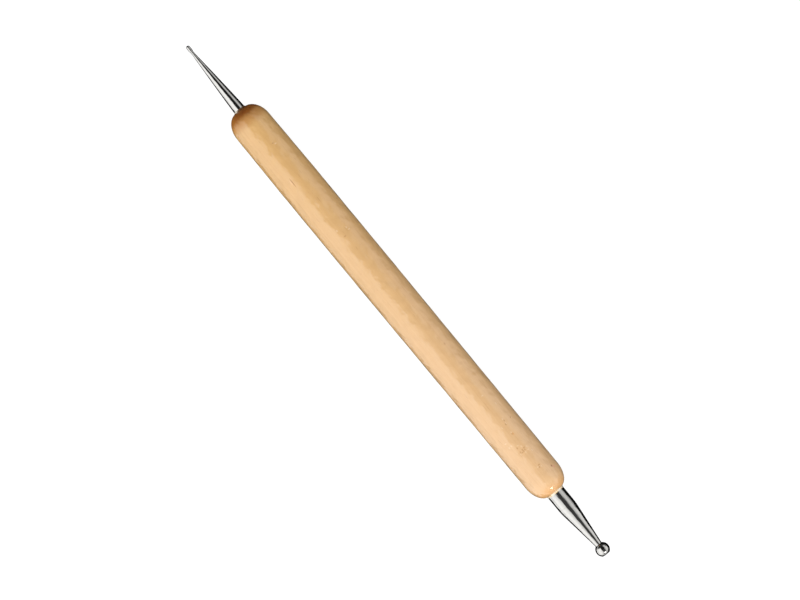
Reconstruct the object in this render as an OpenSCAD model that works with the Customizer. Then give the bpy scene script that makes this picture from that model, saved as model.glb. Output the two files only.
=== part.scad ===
// Double-ended embossing stylus: a turned wooden handle with a ball-tipped steel stylus
// glued into one end and a fine-tipped one glued into the other.
// It lies along X on its belly, with the large ball towards +X and +Z up, and the origin
// is under the middle of its length, on the surface that it lies on.

/* [Handle] */
// Length of the wooden handle, from end face to end face
handle_l = 97.5; // [80:0.5:120]
// Diameter of the parallel belly, where the fingers hold it
belly_d = 8.4; // [7.5:0.1:11]
// Distance from the fine end's face to the start of the belly
belly_start = 17.9; // [10:0.1:30]
// Length of the parallel belly
belly_l = 25; // [15:0.5:40]
// Diameter that the handle tapers to at the fine end, where its shoulder starts
fine_body_d = 8.16; // [6.5:0.02:11]
// Length of the rounded shoulder at the fine end
fine_shoulder_l = 4.1; // [2.5:0.02:7]
// Diameter at which the fine end's shoulder reaches the end face
fine_nose_d = 2.2; // [1.6:0.04:4]
// Diameter that the handle tapers to at the ball end, where its shoulder starts
ball_body_d = 8.1; // [6.5:0.02:11]
// Length of the rounded shoulder at the ball end
ball_shoulder_l = 4.1; // [2.5:0.05:7]
// Diameter at which the ball end's shoulder reaches the end face
ball_nose_d = 3.2; // [2.4:0.04:5]

/* [Ball stylus] */
// Diameter of the steel shank that shows outside the handle
shank_d = 3.76; // [3.5:0.02:5]
// Length of the parallel shank that stands out of the handle
shank_l = 4.2; // [2:0.1:8]
// Length of the cone from the shank down to the neck
ball_cone_l = 9.4; // [6:0.1:15]
// Diameter of the neck, where the cone meets the ball
ball_neck_d = 1.48; // [0.8:0.02:2]
// Diameter of the ball
ball_d = 2.92; // [2.4:0.04:5]
// Diameter of the small flat on the ball's pole, where it was parted off the bar
ball_flat_d = 1.7; // [0.4:0.05:2]
// Diameter of the tang, turned down so that the shank's end seats on the wood
ball_tang_d = 3; // [2:0.1:3.4]
// Length of the tang, from the end of the handle to the tang's inner end
ball_tang_l = 15; // [8:0.5:25]

/* [Fine stylus] */
// Diameter of the parallel root, where the steel leaves the handle
root_d = 2.45; // [2.3:0.05:3.5]
// Length of the parallel root that shows past the glue bead
root_show_l = 0.1; // [0.05:0.05:1]
// Length of the slender cone from the root down to the neck
fine_cone_l = 13.8; // [8:0.05:20]
// How far the cone's side swells outside a straight line at its middle
fine_cone_swell = 0.04; // [0:0.01:0.1]
// Diameter of the neck behind the bulb
fine_neck_d = 0.64; // [0.4:0.02:0.7]
// Length of the neck
fine_neck_l = 0.7; // [0.3:0.05:2]
// Diameter of the small bulb at the tip
bulb_d = 0.8; // [0.74:0.02:1.2]
// Length of the bulb, from one round end to the other
bulb_l = 1.6; // [1.3:0.05:3]
// Diameter of the tang, turned down so that the root's end seats on the wood
fine_tang_d = 2; // [1.4:0.05:2.1]
// Length of the tang, from the end of the handle to the tang's inner end
fine_tang_l = 12; // [8:0.5:25]

/* [Glued sockets] */
// Clearance between a tang and its drilled hole, which the glue fills
glue_gap = 0.08; // [0.05:0.01:0.2]
// Thickness of the glue film between the steel's seat and the end of the handle
seat_film = 0.05; // [0.02:0.01:0.1]
// How far each hole goes on at full diameter past the end of its tang
socket_spare_l = 0.5; // [0.2:0.1:2]
// Point angle of the twist drill
drill_point_angle = 118; // [90:1:140]
// Chamfer on the inner end of each tang
tang_chamfer = 0.3; // [0.1:0.05:0.6]
// How far the bead of squeezed-out glue climbs the steel
bead_h = 0.3; // [0.15:0.01:0.4]
// How far the bead spreads over the wood, past the steel
bead_w = 0.3; // [0.1:0.02:0.5]

/* [Hidden] */
$fn = 96;
// Steps in a quarter of an ellipse, and along the swelling side of the fine cone
arc_steps = 16;
wood_colour = [0.90, 0.74, 0.53];
steel_colour = [0.76, 0.76, 0.75];
glue_colour = [0.93, 0.84, 0.62];

ball_r = ball_d / 2;
bulb_r = bulb_d / 2;
shank_r = shank_d / 2;
root_r = root_d / 2;
ball_neck_r = ball_neck_d / 2;
fine_neck_r = fine_neck_d / 2;
ball_tang_r = ball_tang_d / 2;
fine_tang_r = fine_tang_d / 2;
ball_bore_r = ball_tang_r + glue_gap;
fine_bore_r = fine_tang_r + glue_gap;

// Distances outwards from the handle's ball end face
ball_neck_z = shank_l + ball_cone_l;
ball_centre_z = ball_neck_z + sqrt(ball_r ^ 2 - ball_neck_r ^ 2);
ball_out_l = ball_centre_z + sqrt(ball_r ^ 2 - (ball_flat_d / 2) ^ 2);

// Distances outwards from the handle's fine end face
root_l = bead_h + root_show_l;
fine_neck_z = root_l + fine_cone_l;
bulb_start_z = fine_neck_z + fine_neck_l;
// The bulb is a round-ended rod, and the neck enters its near end at this angle from the axis
bulb_neck_angle = asin(fine_neck_r / bulb_r);
bulb_near_z = bulb_start_z + bulb_r * cos(bulb_neck_angle);
bulb_far_z = bulb_near_z + bulb_l - bulb_d;
fine_out_l = bulb_far_z + bulb_r;

overall_l = fine_out_l + handle_l + ball_out_l;
fine_face_x = fine_out_l - overall_l / 2;
ball_face_x = fine_face_x + handle_l;
// The widest part of the handle rests on the surface
axis_z = max(belly_d, fine_body_d, ball_body_d) / 2;

// Outline of a rounded shoulder as [radius, height] points, from the end face at height 0
// back to the body: a quarter of an ellipse that runs into the body without a corner
function shoulder(nose_r, body_r, length) = [
    for (i = [0:arc_steps])
        let (angle = 90 * i / arc_steps)
        [nose_r + (body_r - nose_r) * sin(angle), length * (cos(angle) - 1)]
];
fine_shoulder = shoulder(fine_nose_d / 2, fine_body_d / 2, fine_shoulder_l);
ball_shoulder = shoulder(ball_nose_d / 2, ball_body_d / 2, ball_shoulder_l);

// Inner end of a tang of radius r, as points from its centre out to its side
function tang_end(r, length) = [
    [0, -length],
    [r - tang_chamfer, -length],
    [r, tang_chamfer - length]
];

// Blind end of a drilled hole of radius r, as points from the drill point out to its wall
function drilled_end(r, tang_l) = [
    [0, -tang_l - socket_spare_l - r / tan(drill_point_angle / 2)],
    [r, -tang_l - socket_spare_l]
];

// Everything at an end of the handle is drawn outwards from the end face, which is height 0
module at_ball_end()
    translate([ball_face_x, 0, axis_z])
        rotate([0, 90, 0])
            children();

module at_fine_end()
    translate([fine_face_x, 0, axis_z])
        rotate([0, -90, 0])
            children();

// The handle as it leaves the lathe, before its ends are drilled
module turned_handle()
    translate([fine_face_x, 0, axis_z])
        rotate([90, 0, 90])
            rotate_extrude()
                polygon(concat(
                    [[0, 0]],
                    [for (p = fine_shoulder) [p.x, -p.y]],
                    [[belly_d / 2, belly_start], [belly_d / 2, belly_start + belly_l]],
                    [for (i = [arc_steps:-1:0]) [ball_shoulder[i].x, handle_l + ball_shoulder[i].y]],
                    [[0, handle_l]]
                ));

// What the drill takes out of an end of the handle
module drilled_hole(r, tang_l)
    rotate_extrude()
        polygon(concat(drilled_end(r, tang_l), [[r, bead_h], [0, bead_h]]));

// Cured glue: a plug in front of the tang, a sleeve round it, a film under the steel's seat
// and the bead that is squeezed out round the steel
module socket_glue(steel_r, tang_r, bore_r, tang_l, shoulder) {
    bead_r = steel_r + bead_w;
    rotate_extrude()
        polygon(concat(
            drilled_end(bore_r, tang_l),
            [[bore_r, lookup(bore_r, shoulder)]],
            [for (p = shoulder) if (p.x > bore_r && p.x < bead_r) p],
            [
                [bead_r, lookup(bead_r, shoulder)],
                [steel_r, bead_h],
                [steel_r, seat_film],
                [tang_r, seat_film]
            ],
            [for (i = [2:-1:0]) tang_end(tang_r, tang_l)[i]]
        ));
}

module handle()
    color(wood_colour)
        difference() {
            turned_handle();
            at_ball_end() drilled_hole(ball_bore_r, ball_tang_l);
            at_fine_end() drilled_hole(fine_bore_r, fine_tang_l);
        }

// Turned from one bar: tang, shank, cone and ball, parted off at the ball's pole
module ball_stylus()
    color(steel_colour)
        at_ball_end() {
            rotate_extrude()
                polygon(concat(tang_end(ball_tang_r, ball_tang_l), [
                    [ball_tang_r, seat_film],
                    [shank_r, seat_film],
                    [shank_r, shank_l],
                    [ball_neck_r, ball_neck_z],
                    [ball_neck_r, ball_centre_z],
                    [0, ball_centre_z]
                ]));
            difference() {
                translate([0, 0, ball_centre_z]) sphere(ball_r);
                translate([0, 0, ball_out_l]) cylinder(r = ball_r, h = ball_r);
            }
        }

// Turned from one bar: tang, root, slender cone, neck and bulb
module fine_stylus()
    color(steel_colour)
        at_fine_end()
            rotate_extrude()
                polygon(concat(
                    tang_end(fine_tang_r, fine_tang_l),
                    [[fine_tang_r, seat_film], [root_r, seat_film]],
                    [
                        for (i = [0:arc_steps])
                            let (s = i / arc_steps)
                            [
                                root_r + (fine_neck_r - root_r) * s + 4 * fine_cone_swell * s * (1 - s),
                                root_l + fine_cone_l * s
                            ]
                    ],
                    [
                        for (i = [0:arc_steps])
                            let (angle = bulb_neck_angle + (90 - bulb_neck_angle) * i / arc_steps)
                            [bulb_r * sin(angle), bulb_near_z - bulb_r * cos(angle)]
                    ],
                    [
                        for (i = [0:arc_steps])
                            let (angle = 90 * i / arc_steps)
                            [bulb_r * cos(angle), bulb_far_z + bulb_r * sin(angle)]
                    ]
                ));

module ball_socket_glue()
    color(glue_colour)
        at_ball_end()
            socket_glue(shank_r, ball_tang_r, ball_bore_r, ball_tang_l, ball_shoulder);

module fine_socket_glue()
    color(glue_colour)
        at_fine_end()
            socket_glue(root_r, fine_tang_r, fine_bore_r, fine_tang_l, fine_shoulder);

handle();
ball_stylus();
fine_stylus();
ball_socket_glue();
fine_socket_glue();
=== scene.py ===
# %% [markdown]
# # A double-ended embossing stylus
# The tool is a turned wooden handle with a steel stylus glued into each end: a ball on a cone at one
# end, and a slender fine tip at the other. It lies on a white table, along X, with the ball towards +X.
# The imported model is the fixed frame. It gives every size that something has to fit, and each surface
# below is worked out around it and then finished with a procedural material.

# %% Load the frame
import math

import bpy
import numpy as np
from mathutils import Matrix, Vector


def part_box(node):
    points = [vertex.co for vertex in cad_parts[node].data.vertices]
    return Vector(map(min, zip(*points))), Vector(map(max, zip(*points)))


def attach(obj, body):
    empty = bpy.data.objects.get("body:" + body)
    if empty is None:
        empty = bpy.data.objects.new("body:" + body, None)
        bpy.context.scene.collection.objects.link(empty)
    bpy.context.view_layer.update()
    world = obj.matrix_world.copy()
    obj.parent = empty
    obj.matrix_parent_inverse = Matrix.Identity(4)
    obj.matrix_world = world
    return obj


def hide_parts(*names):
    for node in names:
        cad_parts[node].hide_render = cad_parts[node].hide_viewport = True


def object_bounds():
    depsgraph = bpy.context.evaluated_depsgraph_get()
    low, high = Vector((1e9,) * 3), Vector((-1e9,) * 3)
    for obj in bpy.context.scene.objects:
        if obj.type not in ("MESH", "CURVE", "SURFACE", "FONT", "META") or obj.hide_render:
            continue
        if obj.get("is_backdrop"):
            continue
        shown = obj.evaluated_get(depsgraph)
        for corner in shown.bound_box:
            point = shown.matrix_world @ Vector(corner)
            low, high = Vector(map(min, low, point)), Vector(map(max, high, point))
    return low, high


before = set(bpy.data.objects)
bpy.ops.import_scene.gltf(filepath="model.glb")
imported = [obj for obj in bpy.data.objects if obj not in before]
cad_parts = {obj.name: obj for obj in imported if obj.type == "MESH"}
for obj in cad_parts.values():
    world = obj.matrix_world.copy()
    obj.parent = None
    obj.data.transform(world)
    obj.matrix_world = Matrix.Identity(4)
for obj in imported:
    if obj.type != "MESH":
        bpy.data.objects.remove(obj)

cad_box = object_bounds()
print("nodes:", ", ".join(sorted(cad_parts)))

# %% [markdown]
# Every piece of this tool is round and shares one axis, so three numbers place them all: the height of
# the axis, and where the two end faces of the handle are. They are read from the frame's boxes. The
# sizes below are in millimetres, as a turner would write them, and become metres in the meshes.

# %% Places that every piece is measured from, in millimetres
METRE = 1000.0
handle_low, handle_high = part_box("handle")
AXIS_HEIGHT = METRE * (handle_low.z + handle_high.z) / 2
FINE_FACE = METRE * handle_low.x
BALL_FACE = METRE * handle_high.x
HANDLE_LENGTH = BALL_FACE - FINE_FACE
BALL_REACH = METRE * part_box("ball_stylus")[1].x - BALL_FACE
FINE_REACH = FINE_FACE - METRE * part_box("fine_stylus")[0].x
print(f"axis {AXIS_HEIGHT:.2f} mm up, handle {HANDLE_LENGTH:.2f} mm long")
print(f"steel stands out {FINE_REACH:.2f} mm at the fine end and {BALL_REACH:.2f} mm at the ball end")

# %% [markdown]
# A lathe makes a surface of revolution, so one function can make every piece here. An outline is a list
# of points, each a distance along the axis and a radius, that starts and ends on the axis, so that the
# surface closes by itself. The function carries the outline round the axis as one numpy grid. A handle
# that was sanded by hand isn't perfectly round, so the radius may also vary from point to point. The
# Screw modifier would turn an outline too, but with the same radius all the way round.

# %% A lathe in numpy
def turned_volume(along, radius):
    """Volume inside an outline, as a pile of cut-off cones: pi / 3 times dx (a^2 + a b + b^2) for each.

    It is negative for an outline that runs towards -X.
    """
    a, b = radius[:-1], radius[1:]
    return math.pi / 3 * np.sum(np.diff(along) * (a ** 2 + a * b + b ** 2))


def revolve(name, along, radius, segments, unevenness=None):
    """Carries an outline round the tool's axis.

    P(u, v) = (along(u), r sin v, h + r cos v), with r = radius(u) + unevenness(along, v), and h the
    height of the axis. The first and the last point lie on the axis, so each is one vertex with a fan of
    triangles. An outline that runs towards -X is reversed, so that the faces point outwards.
    """
    volume = turned_volume(along, radius)
    if volume < 0:
        along, radius = along[::-1], radius[::-1]
    angle = 2 * math.pi * np.arange(segments) / segments
    u, v = np.meshgrid(along[1:-1], angle, indexing="ij")
    r = np.repeat(radius[1:-1, None], segments, axis=1)
    if unevenness is not None:
        r = r + unevenness(u, v)
    rings = np.stack([u, r * np.sin(v), AXIS_HEIGHT + r * np.cos(v)], axis=-1).reshape(-1, 3)
    poles = np.array([[along[0], 0, AXIS_HEIGHT], [along[-1], 0, AXIS_HEIGHT]])
    count = len(along) - 2
    index = np.arange(count * segments).reshape(count, segments)
    beside = np.roll(index, -1, axis=1)
    quads = np.stack([index[:-1], index[1:], beside[1:], beside[:-1]], axis=-1).reshape(-1, 4)
    first, last = np.full(segments, len(rings)), np.full(segments, len(rings) + 1)
    fans = np.concatenate([
        np.stack([first, index[0], beside[0]], axis=-1),
        np.stack([last, beside[-1], index[-1]], axis=-1),
    ])
    vertices = np.concatenate([rings, poles]) / METRE
    faces = quads[:, ::-1].tolist() + fans[:, ::-1].tolist()
    mesh = bpy.data.meshes.new(name)
    mesh.from_pydata(vertices.tolist(), [], faces)
    mesh.polygons.foreach_set("use_smooth", np.ones(len(mesh.polygons), bool))
    mesh.update()
    piece = bpy.data.objects.new(name, mesh)
    bpy.context.scene.collection.objects.link(piece)
    print(f"{name}: {len(quads) * 2 + len(fans)} triangles, {abs(volume):.1f} cubic mm")
    return piece


rod = turned_volume(np.array([0, 10]), np.array([1, 1]))
print(f"check: a rod 10 mm long and 2 mm thick has {rod:.1f} cubic mm")

# %% [markdown]
# ## The handle
# The handle is turned from one stick of pale hardwood: a parallel belly where the fingers hold it, slow
# tapers towards both ends, and round shoulders that are quarters of an ellipse. Both ends are drilled
# for the steel. A box with a bevel would give the rough form, but the shoulders would then be arcs of a
# circle and the belly would have visible breaks, so the radius is written as a function instead.

# %% The outline of the handle
BELLY_START, BELLY_LENGTH = 17.9, 25.0
BELLY_RADIUS = METRE * (handle_high.z - handle_low.z) / 2
FINE_BODY_RADIUS, FINE_SHOULDER, FINE_NOSE_RADIUS = 4.08, 4.1, 1.1
BALL_BODY_RADIUS, BALL_SHOULDER, BALL_NOSE_RADIUS = 4.05, 4.1, 1.6


def shoulder_share(depth, shoulder):
    """How far a quarter of an ellipse has risen, from 0 at the end face to 1 at the depth of the shoulder."""
    return np.sqrt(1 - (1 - np.clip(depth / shoulder, 0, 1)) ** 2)


def handle_radius(depth):
    """Radius at a depth from the fine end's face: tapers and belly, rounded off by the two shoulders."""
    body = np.interp(
        depth,
        [FINE_SHOULDER, BELLY_START, BELLY_START + BELLY_LENGTH, HANDLE_LENGTH - BALL_SHOULDER],
        [FINE_BODY_RADIUS, BELLY_RADIUS, BELLY_RADIUS, BALL_BODY_RADIUS],
    )
    fine = FINE_NOSE_RADIUS + (body - FINE_NOSE_RADIUS) * shoulder_share(depth, FINE_SHOULDER)
    ball = BALL_NOSE_RADIUS + (body - BALL_NOSE_RADIUS) * shoulder_share(HANDLE_LENGTH - depth, BALL_SHOULDER)
    return np.minimum(fine, ball)


middle_radius = handle_radius(HANDLE_LENGTH / 2)
print(f"handle radius: {BELLY_RADIUS:.2f} mm at the belly, {middle_radius:.2f} mm at half its length")

# %% [markdown]
# A stick that was sanded by hand as it turned isn't perfectly round. It keeps very shallow waves, a few
# thousandths of a millimetre deep, that no eye finds in the outline. Only the light that slides over the
# surface shows them. They are form and not colour, so they belong in the mesh. A Displace modifier
# would do as well, but a sum of waves is as easy to write, and its depth is known.

# %% The waves that sanding leaves
SANDING_DEPTH = 0.006
SANDING_WAVES = 12
chance = np.random.default_rng(7)
wave_turns = chance.integers(3, 9, SANDING_WAVES)
wave_lengths = chance.uniform(4, 11, SANDING_WAVES)
wave_phases = chance.uniform(0, 2 * math.pi, SANDING_WAVES)


def hand_finish(along, angle):
    """What sanding left: a sum of waves cos(m v + 2 pi x / length + phase) that fades out at both ends."""
    waves = sum(
        np.cos(m * angle + 2 * math.pi * along / length + phase)
        for m, length, phase in zip(wave_turns, wave_lengths, wave_phases)
    ) / math.sqrt(SANDING_WAVES / 2)
    depth = np.minimum(along - FINE_FACE, BALL_FACE - along)
    return SANDING_DEPTH * waves * np.clip(depth / BALL_SHOULDER, 0, 1) ** 2


print(f"sanding: {SANDING_WAVES} waves, {wave_lengths.min():.1f} to {wave_lengths.max():.1f} mm long")

# %% [markdown]
# The two drilled holes are part of the same outline. It starts at the point that the drill left inside
# the fine end, comes out along the bore, goes over the whole handle, and returns down the other bore.
# A Boolean would cut the holes too, and leave long thin triangles round their mouths.

# %% Turn and drill the handle
GLUE_GAP, SOCKET_SPARE = 0.08, 0.5
DRILL_POINT = math.radians(118) / 2
BALL_TANG_RADIUS, BALL_TANG_LENGTH = 1.5, 15.0
FINE_TANG_RADIUS, FINE_TANG_LENGTH = 1.0, 12.0
SHOULDER_RINGS, TAPER_RINGS, HANDLE_SIDES = 60, 430, 168


def crowded_to_end(start, end, count):
    """Numbers from start to end that crowd together at the end, by a quarter of a sine, for round ends."""
    return start + (end - start) * np.sin(np.linspace(0, math.pi / 2, count))


def drilled_hole(tang_radius, tang_length):
    """A blind hole as points of depth and radius, from the drill's point out to the wall at full diameter."""
    bore = tang_radius + GLUE_GAP
    wall = tang_length + SOCKET_SPARE
    return [(wall + bore / math.tan(DRILL_POINT), 0), (wall, bore)]


def make_handle():
    """The outline runs hole, face, shoulder, tapers and belly, shoulder, face, hole."""
    fine_hole = np.array(drilled_hole(FINE_TANG_RADIUS, FINE_TANG_LENGTH))
    ball_hole = np.array(drilled_hole(BALL_TANG_RADIUS, BALL_TANG_LENGTH))
    print(f"holes: {fine_hole[0, 0]:.1f} mm deep at the fine end, {ball_hole[0, 0]:.1f} mm at the ball end")
    ball_hole = ball_hole * (-1, 1) + (HANDLE_LENGTH, 0)
    fine_round = FINE_SHOULDER - crowded_to_end(0, FINE_SHOULDER, SHOULDER_RINGS)[::-1]
    ball_round = HANDLE_LENGTH - BALL_SHOULDER + crowded_to_end(0, BALL_SHOULDER, SHOULDER_RINGS)
    straight = np.linspace(FINE_SHOULDER, HANDLE_LENGTH - BALL_SHOULDER, TAPER_RINGS)
    depth = np.concatenate([fine_round, straight[1:-1], ball_round])
    outside = np.stack([depth, handle_radius(depth)], axis=1)
    outline = np.concatenate([
        fine_hole, [(0, FINE_TANG_RADIUS + GLUE_GAP)], outside,
        [(HANDLE_LENGTH, BALL_TANG_RADIUS + GLUE_GAP)], ball_hole[::-1],
    ])
    return revolve("turned_handle", FINE_FACE + outline[:, 0], outline[:, 1], HANDLE_SIDES, hand_finish)


handle = make_handle()

# %% [markdown]
# ## The steel
# Where two turned forms meet, the tool leaves a small radius and not a sharp line. As each form is a
# radius at every place along the axis, the smaller or larger of two such functions joins them, and a
# soft minimum or maximum joins them with a blend. A Bevel modifier would round the corner too, but it
# has to find it first.

# %% Soft corners between two forms
def soft_min(a, b, blend):
    """The smaller of a and b, rounded off by a parabola wherever they differ by less than the blend."""
    overlap = np.maximum(blend - np.abs(a - b), 0) / blend
    return np.minimum(a, b) - overlap ** 2 * blend / 4


def soft_max(a, b, blend):
    """The larger of a and b, filled out by a parabola wherever they differ by less than the blend."""
    return -soft_min(-a, -b, blend)


print(f"a corner at radius 1 with a blend of 0.4 is rounded off to {soft_min(1.0, 1.0, 0.4):.2f}")

# %% [markdown]
# Both steels have a hidden tang, turned thinner than what shows, so that the step seats on the end of
# the handle over a film of glue. Its inner end is chamfered so that it starts easily in the hole. Only
# straight lines are needed here, and each corner is split in two so that it doesn't shade as a crease.

# %% The hidden tang
SEAT_FILM, TANG_CHAMFER = 0.05, 0.3
TANG_EASE = TANG_CHAMFER / 5


def tang(radius, length):
    """The tang as points of distance outwards and radius: chamfered end, side, and the step it seats with."""
    chamfer = [(-length, radius - TANG_CHAMFER), (TANG_CHAMFER - length, radius)]
    return [(-length, 0), *chamfer, (SEAT_FILM, radius)]


def eased(points, ease):
    """Takes the edge off an outline: each corner becomes two points, a short way to either side of it."""
    points = np.array(points, float)
    before, here, after = points[:-2], points[1:-1], points[2:]

    def step(towards):
        length = np.linalg.norm(towards - here, axis=1, keepdims=True)
        return here + (towards - here) * np.minimum(ease / length, 1 / 3)

    corners = np.stack([step(before), step(after)], axis=1).reshape(-1, 2)
    return np.concatenate([points[:1], corners, points[-1:]])


def with_tang(steel, radius, length):
    """The outline of the hidden tang, with its corners eased, and then the outline of the visible steel."""
    hidden = eased(tang(radius, length) + [tuple(steel[0])], TANG_EASE)
    return np.concatenate([hidden[:-1], steel])


print(f"tangs: {FINE_TANG_LENGTH:.0f} and {BALL_TANG_LENGTH:.0f} mm long, eased by {TANG_EASE:.2f} mm")

# %% [markdown]
# The ball stylus is one bar of steel: tang, parallel shank, cone, and a ball that was parted off at its
# pole, which left a small flat. Shank and cone are joined by a soft minimum, because the photograph
# shows that corner gently rounded. Cone and ball are joined by a soft maximum, which leaves the small
# fillet of a round-nosed tool. A sphere set against a cone would leave a hard line there.

# %% The ball stylus
SHANK_RADIUS, SHANK_LENGTH = 1.88, 4.2
BALL_CONE_LENGTH, BALL_NECK_RADIUS = 9.4, 0.74
BALL_RADIUS, BALL_FLAT_RADIUS = 1.46, 0.85
SHANK_BLEND, NECK_FILLET = 0.12, 0.04
BALL_CENTRE = BALL_REACH - math.sqrt(BALL_RADIUS ** 2 - BALL_FLAT_RADIUS ** 2)
# How far along the axis and how far inwards the edge of the flat is eased
FLAT_EASE, FLAT_EASE_INWARDS = 0.012, 0.03
CONE_RINGS, BALL_RINGS, BALL_STYLUS_SIDES = 130, 60, 112


def ball_stylus_radius(out):
    """Radius of the steel at a distance outwards: shank and cone, and from the neck on the ball."""
    cone = SHANK_RADIUS + (BALL_NECK_RADIUS - SHANK_RADIUS) * (out - SHANK_LENGTH) / BALL_CONE_LENGTH
    ball = np.sqrt(np.maximum(BALL_RADIUS ** 2 - (out - BALL_CENTRE) ** 2, 0))
    bar = soft_min(np.full_like(out, SHANK_RADIUS), cone, SHANK_BLEND)
    return np.where(out < BALL_CENTRE, soft_max(bar, ball, NECK_FILLET), ball)


def make_ball_stylus():
    """Tang, then the visible steel with close rings over the ball, then the flat that closes it."""
    ball_start = BALL_CENTRE - BALL_RADIUS
    out = np.concatenate([
        np.linspace(SEAT_FILM, ball_start, CONE_RINGS),
        BALL_CENTRE - crowded_to_end(0, BALL_RADIUS, BALL_RINGS)[-2::-1],
        crowded_to_end(BALL_CENTRE, BALL_CENTRE + BALL_RADIUS, BALL_RINGS)[1:],
    ])
    flat_edge = [BALL_REACH - FLAT_EASE, BALL_REACH - FLAT_EASE / 4]
    out = np.append(out[out < flat_edge[0]], flat_edge)
    steel = np.stack([out, ball_stylus_radius(out)], axis=1)
    flat = [(BALL_REACH, BALL_FLAT_RADIUS - FLAT_EASE_INWARDS), (BALL_REACH, 0)]
    outline = with_tang(np.concatenate([steel, flat]), BALL_TANG_RADIUS, BALL_TANG_LENGTH)
    return revolve("ball_stylus_steel", BALL_FACE + outline[:, 0], outline[:, 1], BALL_STYLUS_SIDES)


ball_stylus = make_ball_stylus()

# %% [markdown]
# The other end is turned in the same way, from a thinner bar: a short root, a long slender cone that
# swells by a hair's breadth at its middle, a neck, and a small round-ended bulb. The bulb is what
# embosses fine lines, so it stays a form of its own and isn't blended away.

# %% The fine stylus
ROOT_RADIUS, ROOT_LENGTH = 1.225, 0.4
FINE_CONE_LENGTH, FINE_CONE_SWELL = 13.8, 0.04
FINE_NECK_RADIUS, BULB_RADIUS, BULB_LENGTH = 0.32, 0.4, 1.6
ROOT_BLEND, BULB_FILLET = 0.03, 0.06
# Where the bulb is parallel, as distances outwards from the end face
BULB_NEAR, BULB_FAR = FINE_REACH - BULB_LENGTH + BULB_RADIUS, FINE_REACH - BULB_RADIUS
NEEDLE_RINGS, BULB_BACK_RINGS, BULB_SIDE_RINGS, BULB_TIP_RINGS, FINE_STYLUS_SIDES = 150, 20, 10, 24, 80


def fine_stylus_radius(out):
    """Radius of the steel at a distance outwards: root, swelling cone, neck, and a round-ended bulb."""
    share = np.clip((out - ROOT_LENGTH) / FINE_CONE_LENGTH, -1, 1)
    straight = ROOT_RADIUS + (FINE_NECK_RADIUS - ROOT_RADIUS) * share
    cone = straight + 4 * FINE_CONE_SWELL * share * (1 - share)
    bar = soft_min(np.full_like(out, ROOT_RADIUS), cone, ROOT_BLEND)
    past_parallel = np.maximum(np.maximum(BULB_NEAR - out, out - BULB_FAR), 0)
    bulb = np.sqrt(np.maximum(BULB_RADIUS ** 2 - past_parallel ** 2, 0))
    return np.where(out < BULB_NEAR, soft_max(bar, bulb, BULB_FILLET), bulb)


def make_fine_stylus():
    """Tang, then the visible steel with close rings over the bulb, which closes on the axis by itself."""
    out = np.concatenate([
        np.linspace(SEAT_FILM, BULB_NEAR - BULB_RADIUS, NEEDLE_RINGS),
        BULB_NEAR - crowded_to_end(0, BULB_RADIUS, BULB_BACK_RINGS)[-2::-1],
        np.linspace(BULB_NEAR, BULB_FAR, BULB_SIDE_RINGS)[1:],
        crowded_to_end(BULB_FAR, FINE_REACH, BULB_TIP_RINGS)[1:],
    ])
    steel = np.stack([out, fine_stylus_radius(out)], axis=1)
    steel[-1, 1] = 0
    outline = with_tang(steel, FINE_TANG_RADIUS, FINE_TANG_LENGTH)
    return revolve("fine_stylus_steel", FINE_FACE - outline[:, 0], outline[:, 1], FINE_STYLUS_SIDES)


fine_stylus = make_fine_stylus()

# %% [markdown]
# ## The glue
# Each tang is held by glue: a plug in front of it, a thin sleeve round it, a film under the steel's
# step, and a small bead that was squeezed out at the mouth. Only the bead shows. Surface tension gives
# it a hollow face that leaves the steel and meets the wood at a tangent, which is a quarter of an
# ellipse. A ring with a round section would be quicker, but would bulge where this bead is hollow.

# %% The glue in both sockets
BEAD_HEIGHT, BEAD_WIDTH = 0.3, 0.3
WOOD_POINTS, BEAD_POINTS, GLUE_SIDES = 8, 10, 96


def shoulder_depth(radius, nose, body, shoulder):
    """How far below the end face the shoulder has a radius: the quarter ellipse, solved for the depth."""
    rise = np.clip((radius - nose) / (body - nose), 0, 1)
    return shoulder * (1 - np.sqrt(1 - rise ** 2))


def glue_outline(steel_radius, tang_radius, tang_length, nose, body, shoulder):
    """The glue as points of distance outwards and radius: hole, wood, bead, steel, and back by the tang."""
    hole = [(-depth, radius) for depth, radius in drilled_hole(tang_radius, tang_length)]
    over_wood = np.linspace(tang_radius + GLUE_GAP, steel_radius + BEAD_WIDTH, WOOD_POINTS)
    wood = np.stack([-shoulder_depth(over_wood, nose, body, shoulder), over_wood], axis=1)
    toe_out, toe_radius = wood[-1]
    turn = np.linspace(math.pi / 2, 0, BEAD_POINTS)[1:]
    bead_out = BEAD_HEIGHT + (toe_out - BEAD_HEIGHT) * np.sin(turn)
    bead = np.stack([bead_out, toe_radius - BEAD_WIDTH * np.cos(turn)], axis=1)
    back = [(SEAT_FILM, steel_radius), *tang(tang_radius, tang_length)[::-1]]
    return np.concatenate([hole, wood, bead, back])


def make_glue(name, face, outwards, *sizes):
    """Carries a glue outline round the axis, from an end face of the handle and outwards along X."""
    outline = glue_outline(*sizes)
    return revolve(name, face + outwards * outline[:, 0], outline[:, 1], GLUE_SIDES)


ball_glue = make_glue(
    "ball_socket_glue_bead", BALL_FACE, 1,
    SHANK_RADIUS, BALL_TANG_RADIUS, BALL_TANG_LENGTH, BALL_NOSE_RADIUS, BALL_BODY_RADIUS, BALL_SHOULDER,
)
fine_glue = make_glue(
    "fine_socket_glue_bead", FINE_FACE, -1,
    ROOT_RADIUS, FINE_TANG_RADIUS, FINE_TANG_LENGTH, FINE_NOSE_RADIUS, FINE_BODY_RADIUS, FINE_SHOULDER,
)

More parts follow.
